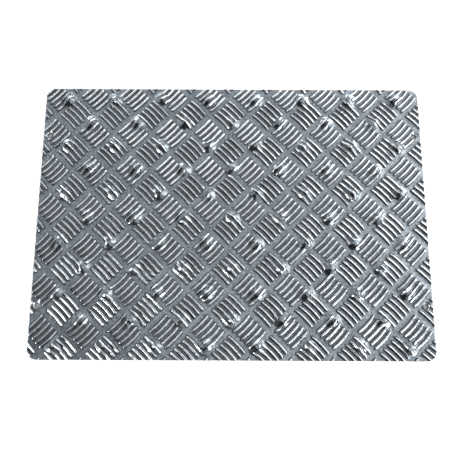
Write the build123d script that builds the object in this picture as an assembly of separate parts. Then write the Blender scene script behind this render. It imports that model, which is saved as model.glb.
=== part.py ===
from build123d import *
import math
import os

# Tactile warning plate, in millimetres. One flat sheet of rolled aluminium tread plate with a
# staggered field of domes pressed up out of it and four countersunk fixing holes.
# +X runs along the long side and +Z points up. The origin is under the middle of the sheet, on the
# plane that it lies on.

# Sheet
length = 420.0
width = 297.0
land_thickness = 3.0
corner_radius = 10.0

# Dome field: rows lie along X, and every second row is moved on by half a pitch. As many domes are
# pressed as the sheet holds with this much land left outside them.
dome_pitch = 52.5
row_pitch = 27.0
dome_to_edge = 3.0

# One dome: an even flank up to a small flat crown
base_diameter = 20.0
crown_diameter = 4.5
press_stroke = 4.0
bar_height = 1.2

# Hollow that the punch leaves on the underside
mouth_diameter = 17.0
punch_diameter = 4.0

# Flat faces round each dome and each hollow
dome_sides = 20

# Fixing holes, one near each end of both short sides
hole_diameter = 4.5
countersink_diameter = 7.5
countersink_angle = 90.0
hole_to_short_side = 6.5
hole_spacing_across = 187.0


def domes_along(side, pitch):
    """How many domes at this pitch the side of the sheet has room for."""
    room = side - 2 * dome_to_edge - base_diameter
    return int(room // pitch) + 1


def dome_centres():
    """Centre of each dome, row by row. Long rows and rows with one dome fewer take turns."""
    row_count = domes_along(width, row_pitch)
    domes_in_long_row = domes_along(length, dome_pitch)
    centres = []
    for row in range(row_count):
        count = domes_in_long_row - row % 2
        y = (row - (row_count - 1) / 2) * row_pitch
        for place in range(count):
            x = (place - (count - 1) / 2) * dome_pitch
            centres.append((x, y))
    return centres


def hole_centres():
    """Centre of each fixing hole, on a rectangle about the middle of the sheet."""
    half_x = length / 2 - hole_to_short_side
    half_y = hole_spacing_across / 2
    return [(sx * half_x, sy * half_y) for sx in (-1, 1) for sy in (-1, 1)]


def flat_sided_cone(low_diameter, low, high_diameter, high):
    """Truncated cone with flat sides, from one regular polygon up to a smaller one."""
    inset = (low_diameter - high_diameter) / 2 * math.cos(math.pi / dome_sides)
    taper = math.degrees(math.atan(inset / (high - low)))
    with BuildPart() as cone:
        with BuildSketch(Plane.XY.offset(low)):
            RegularPolygon(low_diameter / 2, dome_sides)
        extrude(amount=high - low, taper=taper)
    return cone.part


def sheared_blank():
    """The flat sheet, sheared to size, with its corners rounded."""
    with BuildPart() as blank:
        with BuildSketch():
            RectangleRounded(length, width, corner_radius)
        extrude(amount=land_thickness)
    return blank.part


def pressed_plate(blank):
    """The sheet with its domes pushed up and the matching hollows underneath."""
    # The crown is measured over the tread bars that cross it, so it rises one bar height more than
    # the punch lifts the sheet.
    crown = land_thickness + press_stroke + bar_height
    dome = flat_sided_cone(base_diameter, land_thickness, crown_diameter, crown)
    hollow = flat_sided_cone(mouth_diameter, 0, punch_diameter, press_stroke)
    places = [Location((x, y, 0)) for x, y in dome_centres()]
    raised = blank + [place * dome for place in places]
    return raised - [place * hollow for place in places]


def drilled_plate(pressed):
    """The pressed sheet with a countersunk fixing hole near each corner."""
    with BuildPart() as plate:
        add(pressed)
        with Locations(*[(x, y, land_thickness) for x, y in hole_centres()]):
            CounterSinkHole(hole_diameter / 2, countersink_diameter / 2,
                            depth=land_thickness, counter_sink_angle=countersink_angle)
    return plate.part


os.makedirs("parts", exist_ok=True)
tactile_plate = drilled_plate(pressed_plate(sheared_blank()))
export_step(tactile_plate, "parts/tactile_plate.step")
print("tactile_plate", tactile_plate.bounding_box().size, round(tactile_plate.volume), "mm3")
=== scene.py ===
import bpy
import bmesh
import math
from mathutils import Matrix, Vector


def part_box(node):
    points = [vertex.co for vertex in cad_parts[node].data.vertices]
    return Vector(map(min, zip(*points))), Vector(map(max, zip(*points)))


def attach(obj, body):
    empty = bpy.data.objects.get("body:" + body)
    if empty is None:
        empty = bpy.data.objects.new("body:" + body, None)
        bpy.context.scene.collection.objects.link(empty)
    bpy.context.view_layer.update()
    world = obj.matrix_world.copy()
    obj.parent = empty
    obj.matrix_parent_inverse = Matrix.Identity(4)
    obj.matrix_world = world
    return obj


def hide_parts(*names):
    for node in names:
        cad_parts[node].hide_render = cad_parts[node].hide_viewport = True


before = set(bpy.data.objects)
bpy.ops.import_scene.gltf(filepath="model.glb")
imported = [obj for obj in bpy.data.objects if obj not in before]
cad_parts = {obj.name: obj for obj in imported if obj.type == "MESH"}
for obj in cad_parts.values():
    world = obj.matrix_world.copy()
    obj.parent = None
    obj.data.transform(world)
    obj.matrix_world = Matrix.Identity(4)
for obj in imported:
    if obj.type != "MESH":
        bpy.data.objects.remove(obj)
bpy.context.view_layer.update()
mm = 0.001


# Tread pattern
# The top of the sheet is rolled with raised bars in groups of five. Each group fills a square that
# stands on its corner, and its neighbours are turned a quarter turn. The bars bow to one side.

group_pitch = 43.05 * mm
tile_side = group_pitch / math.sqrt(2)
bar_pitch = 5.74 * mm
bar_half_length = 12.9 * mm
bar_half_width = 2.35 * mm
bar_height = 1.2 * mm
bar_bow = 1.03 * mm
bar_end_slope = 1.9 * mm
bars_in_group = 5
tip_width = 0.6
steps_over_bar = (-1.0, -0.6, -0.3, 0.0, 0.3, 0.6, 1.0)
steps_up_end = (0.0, 0.25, 0.55)
steps_along_bar = 7
steps_along_tile = 12


def bell(t):
    """1 at t = 0, falling smoothly to 0 at t = 1 and beyond, on both sides."""
    return 0.5 + 0.5 * math.cos(math.pi * min(1.0, abs(t)))


def bar_end(u):
    """Share of the full height and width that a bar has at u along it."""
    from_tip = bar_half_length - abs(u)
    return 1 - bell(from_tip / bar_end_slope)


def bar_columns():
    """Places along a bar that carry mesh lines, closer together on its ends."""
    shoulder = bar_half_length - bar_end_slope
    left = [bar_end_slope * step - bar_half_length for step in steps_up_end]
    middle = [shoulder * (2 * i / steps_along_bar - 1) for i in range(steps_along_bar + 1)]
    return left + middle + [-u for u in reversed(left)]


def tread_tile():
    """Mesh of one group: five bars on a grid that follows them, in a square of flat land."""
    columns = bar_columns()
    stations = [(bar, step) for bar in range(bars_in_group) for step in steps_over_bar]
    tile = bmesh.new()
    relief = tile.verts.layers.float.new("relief")
    shade_between_bars = tile.verts.layers.float.new("shade_between_bars")
    bmesh.ops.create_grid(tile, x_segments=len(columns) - 1, y_segments=len(stations) - 1, size=0.5)
    for vert in tile.verts:
        u = columns[round((vert.co.x + 0.5) * (len(columns) - 1))]
        station = round((vert.co.y + 0.5) * (len(stations) - 1))
        bar, step = stations[station]
        share = bar_end(u)
        middle = (bar - bars_in_group // 2) * bar_pitch - bar_bow * (1 - (u / bar_half_length) ** 2)
        v = middle + step * bar_half_width * (tip_width + (1 - tip_width) * share)
        vert[relief] = bell(step) * share
        # Marks the strip of each group's bars, where the land between them gets painted shade.
        vert[shade_between_bars] = share if 0 < station < len(stations) - 1 else 0.0
        vert.co = (u, v, bar_height * vert[relief])

    bars_rim = [edge for edge in tile.edges if edge.is_boundary]
    square = bmesh.ops.create_grid(tile, x_segments=steps_along_tile, y_segments=steps_along_tile,
                                   size=tile_side / 2)["verts"]
    square_faces = list(dict.fromkeys(face for vert in square for face in vert.link_faces))
    square_rim = [edge for face in square_faces for edge in face.edges if edge.is_boundary]
    bmesh.ops.delete(tile, geom=square_faces, context="FACES_KEEP_BOUNDARY")
    ring = [edge for edge in square_rim if edge.is_valid] + bars_rim
    bmesh.ops.triangle_fill(tile, use_beauty=True, edges=ring, normal=(0, 0, 1))
    mesh = bpy.data.meshes.new("tread_tile")
    tile.to_mesh(mesh)
    tile.free()
    return mesh


# Tactile plate
# One sheet of the rolled tread plate, sheared square to its sides with the corners rounded off, so
# that the cut runs straight through the bars. Domes are pressed up out of it from below.

plate_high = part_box("tactile_plate")[1]
half_length = plate_high.x
half_width = plate_high.y
land_level = 3.0 * mm
corner_radius = 10.0 * mm
corner_cuts = 9
corner_reach = 16.0 * mm
weld_distance = 0.001 * mm
cut_tolerance = 0.0001 * mm
pattern_origin = Vector((-24.88, 9.71, 0)) * mm

dome_pitch = 52.5 * mm
row_pitch = 27.0 * mm
domes_in_long_row = 8
row_count = 11
dome_radius = 10.0 * mm
crown_radius = 1.0 * mm
dome_fillet = 1.8 * mm
dome_grain = 2.2 * mm
fine_radius = 8.0 * mm
press_stroke = plate_high.z - land_level - bar_height


def rolled_sheet():
    """The flat tread plate, a little larger than the plate that is sheared from it."""
    sheet = bmesh.new()
    margin = tile_side / math.sqrt(2)
    reach = math.ceil((half_length + margin) / group_pitch * 2) + 2
    for column in range(-reach, reach + 1):
        for row in range(-reach, reach + 1):
            if (column + row) % 2:
                continue
            centre = pattern_origin + Vector((column, row, 0)) * group_pitch / 2
            if abs(centre.x) > half_length + margin or abs(centre.y) > half_width + margin:
                continue
            turn = math.radians(45 + 90 * (column % 2))
            place = Matrix.Translation((centre.x, centre.y, land_level)) @ Matrix.Rotation(turn, 4, "Z")
            tile = tile_mesh.copy()
            tile.transform(place)
            sheet.from_mesh(tile)
            bpy.data.meshes.remove(tile)
    bmesh.ops.remove_doubles(sheet, verts=sheet.verts, dist=weld_distance)
    return sheet


def geometry_near(sheet, centre, reach):
    """Faces of the sheet within reach of a point, with their edges and corners, in a fixed order."""
    faces = [face for face in sheet.faces if (face.calc_center_median().xy - centre.xy).length < reach]
    edges = dict.fromkeys(edge for face in faces for edge in face.edges)
    verts = dict.fromkeys(vert for face in faces for vert in face.verts)
    return faces + list(edges) + list(verts)


def cut_upright(sheet, geometry, point, normal, clear=False):
    """Cuts the given geometry along an upright plane, and drops what lies past it if asked to."""
    return bmesh.ops.bisect_plane(sheet, geom=geometry, dist=cut_tolerance, plane_co=point,
                                  plane_no=normal, clear_outer=clear)["geom"]


def shear_to_size(sheet):
    """Shears the four sides, then rounds each corner with a few short cuts along its arc."""
    for side in (-1, 1):
        for normal in (Vector((side, 0, 0)), Vector((0, side, 0))):
            everything = sheet.verts[:] + sheet.edges[:] + sheet.faces[:]
            edge_point = Vector((normal.x * half_length, normal.y * half_width, 0))
            cut_upright(sheet, everything, edge_point, normal, clear=True)
    for side_x in (-1, 1):
        for side_y in (-1, 1):
            centre = Vector((side_x * (half_length - corner_radius),
                             side_y * (half_width - corner_radius), 0))
            corner = geometry_near(sheet, centre, corner_reach)
            for cut in range(corner_cuts):
                angle = math.radians(90 * (cut + 0.5) / corner_cuts)
                normal = Vector((side_x * math.cos(angle), side_y * math.sin(angle), 0))
                corner = cut_upright(sheet, corner, centre + normal * corner_radius, normal, clear=True)


def dome_centres():
    """Centre of each dome. Rows lie along the long side, and every second one is half a pitch on."""
    centres = []
    for row in range(row_count):
        count = domes_in_long_row - row % 2
        y = (row - (row_count - 1) / 2) * row_pitch
        centres += [((place - (count - 1) / 2) * dome_pitch, y) for place in range(count)]
    return centres


def nearest_dome(x, y):
    """How far a point is from the centre of the nearest dome."""
    row = min(row_count - 1, max(0, round(y / row_pitch + (row_count - 1) / 2)))
    count = domes_in_long_row - row % 2
    place = min(count - 1, max(0, round(x / dome_pitch + (count - 1) / 2)))
    dome_x = (place - (count - 1) / 2) * dome_pitch
    dome_y = (row - (row_count - 1) / 2) * row_pitch
    return math.hypot(x - dome_x, y - dome_y)


def dome_rise(distance):
    """Share of the stroke at a distance from a dome's centre: an even slope, eased in and out."""
    run = dome_radius - crown_radius
    climbed = min(run, max(0.0, dome_radius - distance))
    foot = min(climbed, dome_fillet)
    crown = max(0.0, climbed - (run - dome_fillet))
    eased = climbed - foot + (foot ** 2 - crown ** 2) / (2 * dome_fillet)
    return eased / (run - dome_fillet)


def press_domes(sheet):
    """Halves the long edges where the domes come, then lifts land and bars together into them."""
    coarse = []
    for edge in sheet.edges:
        middle = (edge.verts[0].co + edge.verts[1].co) / 2
        if edge.calc_length() > dome_grain and nearest_dome(middle.x, middle.y) < fine_radius:
            coarse.append(edge)
    bmesh.ops.subdivide_edges(sheet, edges=coarse, cuts=1, use_single_edge=True)
    pressed = sheet.verts.layers.float.new("pressed")
    for vert in sheet.verts:
        vert[pressed] = dome_rise(nearest_dome(vert.co.x, vert.co.y))
        vert.co.z += press_stroke * vert[pressed]


# Fixing holes
# Four holes for countersunk screws, drilled near the ends of the short sides. The countersink cuts
# the bars away above it and opens out through them.

hole_radius = 2.25 * mm
countersink_radius = 3.75 * mm
hole_to_short_side = 6.5 * mm
hole_spacing_across = 187.0 * mm
hole_sides = 28
drill_reach = 6.25 * mm
just_inside = 0.99
just_outside = 1.1


def hole_centres():
    """Centre of each fixing hole, on a rectangle about the middle of the plate."""
    half_x = half_length - hole_to_short_side
    half_y = hole_spacing_across / 2
    return [Vector((sx * half_x, sy * half_y, 0)) for sx in (-1, 1) for sy in (-1, 1)]


def drill(sheet, centre):
    """Cuts the mouth of one countersunk hole and slopes the bars round it to the same cone."""
    local = geometry_near(sheet, centre, drill_reach)
    for radius in (countersink_radius, countersink_radius + bar_height):
        for side in range(hole_sides):
            angle = 2 * math.pi * side / hole_sides
            normal = Vector((math.cos(angle), math.sin(angle), 0))
            local = cut_upright(sheet, local, centre + normal * radius, normal)
    relief = sheet.verts.layers.float["relief"]
    for vert in [item for item in local if isinstance(item, bmesh.types.BMVert)]:
        height_left = max(0.0, (vert.co.xy - centre.xy).length - countersink_radius)
        if vert.co.z > land_level + height_left:
            vert.co.z = land_level + height_left
            # The lowered bars keep only their remaining share of relief, so the countersink's cone gets
            # the dark painted shade of the flanks.
            vert[relief] = min(vert[relief], height_left / bar_height)
    inside = [item for item in local if isinstance(item, bmesh.types.BMFace)
              and (item.calc_center_median().xy - centre.xy).length < countersink_radius * just_inside]
    bmesh.ops.delete(sheet, geom=inside, context="FACES")


tile_mesh = tread_tile()
sheet = rolled_sheet()
shear_to_size(sheet)
for centre in hole_centres():
    drill(sheet, centre)
press_domes(sheet)


# Underside
# The back of the sheet is smooth. It shows only the hollow that the punch left under each dome and
# the plain mouths of the fixing holes.

mouth_radius = 8.5 * mm
hollow_rings = 6
hollow_sides = 20
cut_face = 1
sharpest_smooth_edge = math.radians(50)


def punched_hollow():
    """Mesh of one hollow: a ring on the underside drawn up and in, with the dome's own slope."""
    hollow = bmesh.new()
    bmesh.ops.create_circle(hollow, segments=hollow_sides, radius=mouth_radius)
    rim = hollow.edges[:]
    for ring in range(1, hollow_rings + 1):
        share = 1 - ring / (hollow_rings + 1)
        raised = bmesh.ops.extrude_edge_only(hollow, edges=rim)["geom"]
        rim = [item for item in raised if isinstance(item, bmesh.types.BMEdge)]
        for vert in {vert for edge in rim for vert in edge.verts}:
            flat = Vector((vert.co.x, vert.co.y, 0)).normalized() * mouth_radius * share
            vert.co = (flat.x, flat.y, press_stroke * dome_rise(dome_radius * share))
    bmesh.ops.edgeloop_fill(hollow, edges=rim)
    mesh = bpy.data.meshes.new("hollow")
    hollow.to_mesh(mesh)
    hollow.free()
    return mesh


def drop_rim(sheet, edges, level, centre=None, scale=1.0):
    """Draws a rim down to a level, and in towards a centre where one is given, as a cut face."""
    lowered = bmesh.ops.extrude_edge_only(sheet, edges=edges)["geom"]
    rim = [item for item in lowered if isinstance(item, bmesh.types.BMEdge)]
    for vert in {vert for edge in rim for vert in edge.verts}:
        if centre is not None:
            vert.co.xy = centre.xy + (vert.co.xy - centre.xy) * scale
        vert.co.z = level
        for layer in sheet.verts.layers.float.values():
            vert[layer] = 0.0
    for item in lowered:
        if isinstance(item, bmesh.types.BMFace):
            item.material_index = cut_face
    return rim


def close_underside(sheet):
    """Walls down from the sheared edge and the holes, the hollows, and the flat back between."""
    outer = [edge for edge in sheet.edges if edge.is_boundary]
    mouth_reach = countersink_radius * just_outside
    for centre in hole_centres():
        mouth = [edge for edge in outer
                 if max((vert.co.xy - centre.xy).length for vert in edge.verts) < mouth_reach]
        outer = [edge for edge in outer if edge not in mouth]
        level = land_level - (countersink_radius - hole_radius)
        throat = drop_rim(sheet, mouth, level, centre, hole_radius / countersink_radius)
        drop_rim(sheet, throat, 0.0)
    drop_rim(sheet, outer, 0.0)
    hollow_mesh = punched_hollow()
    for x, y in dome_centres():
        hollow = hollow_mesh.copy()
        hollow.transform(Matrix.Translation((x, y, 0)))
        sheet.from_mesh(hollow)
        bpy.data.meshes.remove(hollow)
    rims = [edge for edge in sheet.edges if edge.is_boundary]
    bmesh.ops.triangle_fill(sheet, use_beauty=True, edges=rims, normal=(0, 0, -1))
    bmesh.ops.recalc_face_normals(sheet, faces=sheet.faces)


close_underside(sheet)
for edge in sheet.edges:
    edge.smooth = len(edge.link_faces) == 2 and edge.calc_face_angle() < sharpest_smooth_edge
for face in sheet.faces:
    face.smooth = True
plate_mesh = bpy.data.meshes.new("tactile_sheet")
sheet.to_mesh(plate_mesh)
sheet.free()
tactile_sheet = bpy.data.objects.new("tactile_sheet", plate_mesh)
bpy.context.scene.collection.objects.link(tactile_sheet)
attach(tactile_sheet, "root")
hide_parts("tactile_plate")


# Aluminium
# Bare rolled aluminium. The rolls and feet have burnished the crests of the bars, and the crests are
# painted much lighter, partly for the burnish and partly as a painted highlight. The flanks are painted
# near black and the land between the bars darker, as painted shade. The land is a dull blue grey with
# a fine rolling grain.

land_colour = (0.37, 0.41, 0.445, 1)
# Painted shade: the land between the bars is painted darker, as shade in the valleys.
valley_shade_colour = (0.2, 0.225, 0.25, 1)
# Painted shade: the flanks of the bars are painted near black.
flank_shade_colour = (0.008, 0.011, 0.014, 1)
# Partly burnish and partly painted highlight: the crests are painted much lighter than the land.
crest_burnish_and_highlight = (0.87, 0.92, 0.96, 1)
brightest = (0.95, 0.97, 0.98)
valley_level = 0.06
colour_by_relief = ((0.01, land_colour), (valley_level, valley_shade_colour), (0.18, flank_shade_colour),
                    (0.46, flank_shade_colour), (0.76, crest_burnish_and_highlight))
land_roughness = 0.35
crest_roughness = 0.2
burnish_starts, burnish_full = 0.5, 0.9
rubbed_stroke = 0.25
blotches_per_metre = 38
worn_spots_per_metre = 60
mottles_per_metre = 480
grains_per_metre = 900
grain_stretch = (0.4, 1, 1)
pits_per_metre = 2600
blotch_shades = (0.9, 1.1)
mottle_shades = (0.64, 1.36)
grain_shades = (0.72, 1.28)
level_wander = (0.97, 1.03)
polish_wander = (0.85, 1.15)
worn_contrast = 0.82
surface_bump = 0.15
surface_depth = 0.06 * mm

aluminium = bpy.data.materials.new("rolled_aluminium")
aluminium.use_nodes = True
nodes = aluminium.node_tree.nodes
links = aluminium.node_tree.links
metal = nodes["Principled BSDF"]
metal.inputs["Metallic"].default_value = 1.0


def noise(coordinate, scale, detail, stretch=(1, 1, 1)):
    """Noise texture of a given scale per metre, drawn out along an axis by a small stretch value."""
    mapping = nodes.new("ShaderNodeMapping")
    mapping.inputs["Scale"].default_value = stretch
    links.new(coordinate, mapping.inputs["Vector"])
    texture = nodes.new("ShaderNodeTexNoise")
    texture.inputs["Scale"].default_value = scale
    texture.inputs["Detail"].default_value = detail
    links.new(mapping.outputs["Vector"], texture.inputs["Vector"])
    return texture.outputs["Fac"]


def spread(value, low, high, low_out, high_out):
    """Maps a value from one range to another, and holds it at the ends."""
    node = nodes.new("ShaderNodeMapRange")
    links.new(value, node.inputs["Value"])
    for name, number in (("From Min", low), ("From Max", high),
                         ("To Min", low_out), ("To Max", high_out)):
        node.inputs[name].default_value = number
    return node.outputs["Result"]


def vary(texture, lowest, highest):
    """Maps the middle of a noise texture's range to two limits."""
    return spread(texture, 0.3, 0.7, lowest, highest)


def arithmetic(operation, first, second):
    """Result of one Math node on two values."""
    node = nodes.new("ShaderNodeMath")
    node.operation = operation
    links.new(first, node.inputs[0])
    links.new(second, node.inputs[1])
    return node.outputs["Value"]


def mix_colours(factor, first, second):
    """Colour between a fixed first one and a second one that varies."""
    node = nodes.new("ShaderNodeMix")
    node.data_type = "RGBA"
    sockets = {socket.identifier: socket for socket in [*node.inputs, *node.outputs]}
    links.new(factor, sockets["Factor_Float"])
    sockets["A_Color"].default_value = first
    links.new(second, sockets["B_Color"])
    return sockets["Result_Color"]


relief = nodes.new("ShaderNodeAttribute")
relief.attribute_name = "relief"
place = nodes.new("ShaderNodeTexCoord").outputs["Object"]
blotches = noise(place, blotches_per_metre, 3)
mottle = noise(place, mottles_per_metre, 4)
rolling_grain = noise(place, grains_per_metre, 3, stretch=grain_stretch)
pits = noise(place, pits_per_metre, 2)

shade_between_bars = nodes.new("ShaderNodeAttribute")
shade_between_bars.attribute_name = "shade_between_bars"
# Painted shade: the land between the bars is darkened to the valley level of the colours.
painted_valley_shade = spread(shade_between_bars.outputs["Fac"], 0, 1, 0, valley_level)
level = arithmetic("MAXIMUM", relief.outputs["Fac"], painted_valley_shade)
uneven_level = arithmetic("MULTIPLY", level, vary(mottle, *level_wander))
# This ramp paints shade into the valleys and on the flanks of the bars, and a highlight on their
# crests.
colours = nodes.new("ShaderNodeValToRGB")
stops = colours.color_ramp.elements
while len(stops) < len(colour_by_relief):
    stops.new(0.5)
for stop, (position, colour) in zip(stops, colour_by_relief):
    stop.position = position
    stop.color = colour
links.new(uneven_level, colours.inputs["Fac"])

wear = spread(noise(place, worn_spots_per_metre, 2), 0.35, 0.65, worn_contrast, 1)
# The painted shade and highlight of the relief fade towards the land colour in random worn spots.
worn_colour_and_painted_light = mix_colours(wear, land_colour, colours.outputs["Color"])
coarse_shade = arithmetic("MULTIPLY", vary(blotches, *blotch_shades), vary(mottle, *mottle_shades))
shade = arithmetic("MULTIPLY", coarse_shade, vary(rolling_grain, *grain_shades))
tarnish = nodes.new("ShaderNodeVectorMath")
tarnish.operation = "SCALE"
links.new(worn_colour_and_painted_light, tarnish.inputs[0])
links.new(shade, tarnish.inputs["Scale"])
bright_limit = nodes.new("ShaderNodeVectorMath")
bright_limit.operation = "MINIMUM"
links.new(tarnish.outputs["Vector"], bright_limit.inputs[0])
bright_limit.inputs[1].default_value = brightest
links.new(bright_limit.outputs["Vector"], metal.inputs["Base Color"])

pressed = nodes.new("ShaderNodeAttribute")
pressed.attribute_name = "pressed"
burnished = arithmetic("MAXIMUM", spread(relief.outputs["Fac"], burnish_starts, burnish_full, 0, 1),
                       spread(pressed.outputs["Fac"], 0, rubbed_stroke, 0, 1))
polish = spread(burnished, 0, 1, land_roughness, crest_roughness)
roughness = arithmetic("MULTIPLY", polish, vary(mottle, *polish_wander))
links.new(roughness, metal.inputs["Roughness"])

surface = arithmetic("ADD", spread(pits, 0, 1, 0, 0.5), spread(rolling_grain, 0, 1, 0, 0.5))
bump = nodes.new("ShaderNodeBump")
bump.inputs["Strength"].default_value = surface_bump
bump.inputs["Distance"].default_value = surface_depth
links.new(surface, bump.inputs["Height"])
links.new(bump.outputs["Normal"], metal.inputs["Normal"])
plate_mesh.materials.append(aluminium)


# Sheared edge
# The sides and the holes are cut through the sheet, so they show bright bare metal. The blade left
# fine upright marks, smooth at the top and torn below.

cut_colour = (0.56, 0.59, 0.61, 1)
torn_colour = (0.34, 0.36, 0.38, 1)
tear_level = 1.6 * mm
tear_wander = 0.5 * mm
tear_softness = 0.2 * mm
tears_per_metre = 500
marks_per_metre = 1800
mark_stretch = (1, 1, 0.08)
mark_shades = (0.8, 1.1)
mark_bump = 0.3
mark_depth = 0.05 * mm
cut_roughness = 0.3
torn_roughness = 0.55

sheared = bpy.data.materials.new("sheared_aluminium")
sheared.use_nodes = True
nodes = sheared.node_tree.nodes
links = sheared.node_tree.links
metal = nodes["Principled BSDF"]
metal.inputs["Metallic"].default_value = 1.0
place = nodes.new("ShaderNodeTexCoord").outputs["Object"]
height = nodes.new("ShaderNodeSeparateXYZ")
links.new(place, height.inputs[0])
blade_marks = noise(place, marks_per_metre, 3, stretch=mark_stretch)
wander = vary(noise(place, tears_per_metre, 2), -tear_wander, tear_wander)
uneven_height = arithmetic("ADD", height.outputs["Z"], wander)
smooth_cut = spread(uneven_height, tear_level - tear_softness, tear_level + tear_softness, 0, 1)
cut_tint = nodes.new("ShaderNodeVectorMath")
cut_tint.operation = "SCALE"
cut_tint.inputs[0].default_value = cut_colour[:3]
links.new(vary(blade_marks, *mark_shades), cut_tint.inputs["Scale"])
links.new(mix_colours(smooth_cut, torn_colour, cut_tint.outputs["Vector"]), metal.inputs["Base Color"])
links.new(spread(smooth_cut, 0, 1, torn_roughness, cut_roughness), metal.inputs["Roughness"])
marks = nodes.new("ShaderNodeBump")
marks.inputs["Strength"].default_value = mark_bump
marks.inputs["Distance"].default_value = mark_depth
links.new(blade_marks, marks.inputs["Height"])
links.new(marks.outputs["Normal"], metal.inputs["Normal"])
plate_mesh.materials.append(sheared)


# Floor
# A plain white surface that the plate lies on. It is lit by the lamps, and lifted to white for the
# camera and for what the metal reflects, but not under the plate, where it shows through the holes.

floor_reach = 4.0
floor_gap = 0.1 * mm
paper_colour = (0.9, 0.9, 0.9, 1)
paper_roughness = 0.9
near_floor, far_floor = 0.5, 1.6
lift_near, lift_far = 0.45, 1.0
covered, open_floor = 0.98, 0.99

floor_mesh = bpy.data.meshes.new("floor")
floor_form = bmesh.new()
bmesh.ops.create_grid(floor_form, x_segments=1, y_segments=1, size=floor_reach)
bmesh.ops.translate(floor_form, verts=floor_form.verts, vec=(0, 0, -floor_gap))
floor_form.to_mesh(floor_mesh)
floor_form.free()
floor = bpy.data.objects.new("floor", floor_mesh)
bpy.context.scene.collection.objects.link(floor)

paper = bpy.data.materials.new("white_floor")
paper.use_nodes = True
nodes = paper.node_tree.nodes
links = paper.node_tree.links
matt = nodes["Principled BSDF"]
matt.inputs["Base Color"].default_value = paper_colour
matt.inputs["Roughness"].default_value = paper_roughness
matt.inputs["Emission Color"].default_value = (1, 1, 1, 1)
rays = nodes.new("ShaderNodeLightPath")
seen = nodes.new("ShaderNodeMath")
seen.operation = "MAXIMUM"
links.new(rays.outputs["Is Camera Ray"], seen.inputs[0])
links.new(rays.outputs["Is Glossy Ray"], seen.inputs[1])
place = nodes.new("ShaderNodeTexCoord").outputs["Object"]
from_middle = nodes.new("ShaderNodeVectorMath")
from_middle.operation = "LENGTH"
links.new(place, from_middle.inputs[0])
lift = spread(from_middle.outputs["Value"], near_floor, far_floor, lift_near, lift_far)
outward = nodes.new("ShaderNodeVectorMath")
outward.operation = "ABSOLUTE"
links.new(place, outward.inputs[0])
share_of_plate = nodes.new("ShaderNodeVectorMath")
share_of_plate.operation = "DIVIDE"
share_of_plate.inputs[1].default_value = (half_length, half_width, 1)
links.new(outward.outputs["Vector"], share_of_plate.inputs[0])
shares = nodes.new("ShaderNodeSeparateXYZ")
links.new(share_of_plate.outputs["Vector"], shares.inputs[0])
larger_share = arithmetic("MAXIMUM", shares.outputs["X"], shares.outputs["Y"])
uncovered = spread(larger_share, covered, open_floor, 0, 1)
glow = arithmetic("MULTIPLY", lift, uncovered)
links.new(arithmetic("MULTIPLY", seen.outputs["Value"], glow), matt.inputs["Emission Strength"])
floor_mesh.materials.append(paper)


# Light
# A ring of wide soft lamps stands low round the plate and lights the crests and flanks of the relief
# from the side. Two windows higher up brighten the domes. The room is dim, so that the flat land stays
# grey, and darkest towards the near left, for the dark spot on that side of each dome.

lamp_distance = 1.8
room_light = 0.54
dark_side_light = 0.01
dark_side = (-0.42, -0.52, 0.74)
dark_side_starts, dark_side_full = 0.8, 0.93
room_colour = (0.94, 0.97, 1.0, 1)

# Name, azimuth and elevation in degrees, power in watts, width and height in metres
lamps = (("right", 0, 9, 6, (0.9, 0.3)),
         ("far_right", 40, 9, 10, (0.9, 0.3)),
         ("far", 80, 9, 4, (0.9, 0.3)),
         ("far_left", 122, 14, 5, (0.9, 0.3)),
         ("near_left", 216, 9, 27, (0.5, 0.35)),
         ("near_right", 316, 13, 17, (0.8, 0.4)),
         ("window", 10, 40, 7.5, (1.2, 1.1)),
         ("far_window", 65, 40, 1, (1.2, 0.8)),
         ("overhead", 262, 80, 0.75, (0.5, 0.5)))


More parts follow.
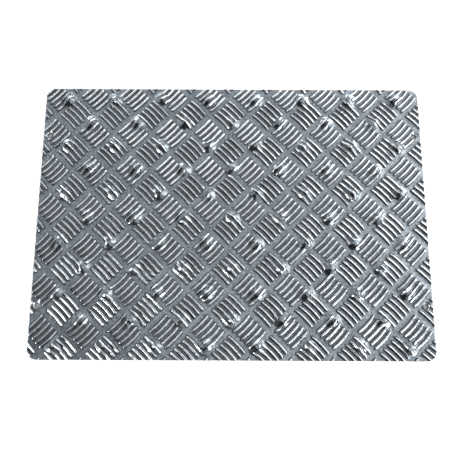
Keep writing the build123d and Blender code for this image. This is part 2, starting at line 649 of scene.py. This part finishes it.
def soft_lamp(name, azimuth, elevation, power, size):
    """Rectangular area lamp aimed at the middle of the plate. Azimuth is counted from +X towards +Y."""
    around = Matrix.Rotation(math.radians(azimuth), 3, "Z")
    up = Matrix.Rotation(math.radians(-elevation), 3, "Y")
    position = around @ up @ Vector((lamp_distance, 0, 0))
    light = bpy.data.lights.new(name, "AREA")
    light.shape = "RECTANGLE"
    light.size, light.size_y = size
    light.energy = power
    lamp = bpy.data.objects.new(name, light)
    lamp.location = position
    lamp.rotation_euler = (-position).to_track_quat("-Z", "Y").to_euler()
    bpy.context.scene.collection.objects.link(lamp)


for lamp in lamps:
    soft_lamp(*lamp)

world = bpy.data.worlds.new("room")
world.use_nodes = True
nodes = world.node_tree.nodes
links = world.node_tree.links
room = nodes["Background"]
room.inputs["Color"].default_value = room_colour
facing = nodes.new("ShaderNodeVectorMath")
facing.operation = "DOT_PRODUCT"
facing.inputs[1].default_value = dark_side
links.new(nodes.new("ShaderNodeTexCoord").outputs["Generated"], facing.inputs[0])
dimming = nodes.new("ShaderNodeMapRange")
dimming.interpolation_type = "SMOOTHSTEP"
links.new(facing.outputs["Value"], dimming.inputs["Value"])
for name, number in (("From Min", dark_side_starts), ("From Max", dark_side_full),
                     ("To Min", room_light), ("To Max", dark_side_light)):
    dimming.inputs[name].default_value = number
rays = nodes.new("ShaderNodeLightPath")
backdrop = nodes.new("ShaderNodeMix")
links.new(rays.outputs["Is Camera Ray"], backdrop.inputs["Factor"])
links.new(dimming.outputs["Result"], backdrop.inputs["A"])
backdrop.inputs["B"].default_value = 1.0
links.new(backdrop.outputs["Result"], room.inputs["Strength"])
bpy.context.scene.world = world
bpy.context.scene.view_settings.view_transform = "Standard"


# Camera
# Nearly straight above the plate, a little towards its near long side, as the photograph was taken.

image_width = 452
focal_pixels = 430
sensor_width = 36
camera_place = Vector((-6.3, -86.6, 459.6)) * mm
camera_turn = (9.66, -0.04, 0.25)

camera_data = bpy.data.cameras.new("camera")
camera_data.sensor_width = sensor_width
camera_data.lens = sensor_width * focal_pixels / image_width
camera = bpy.data.objects.new("camera", camera_data)
camera.location = camera_place
camera.rotation_euler = [math.radians(degrees) for degrees in camera_turn]
bpy.context.scene.collection.objects.link(camera)
bpy.context.scene.camera = camera
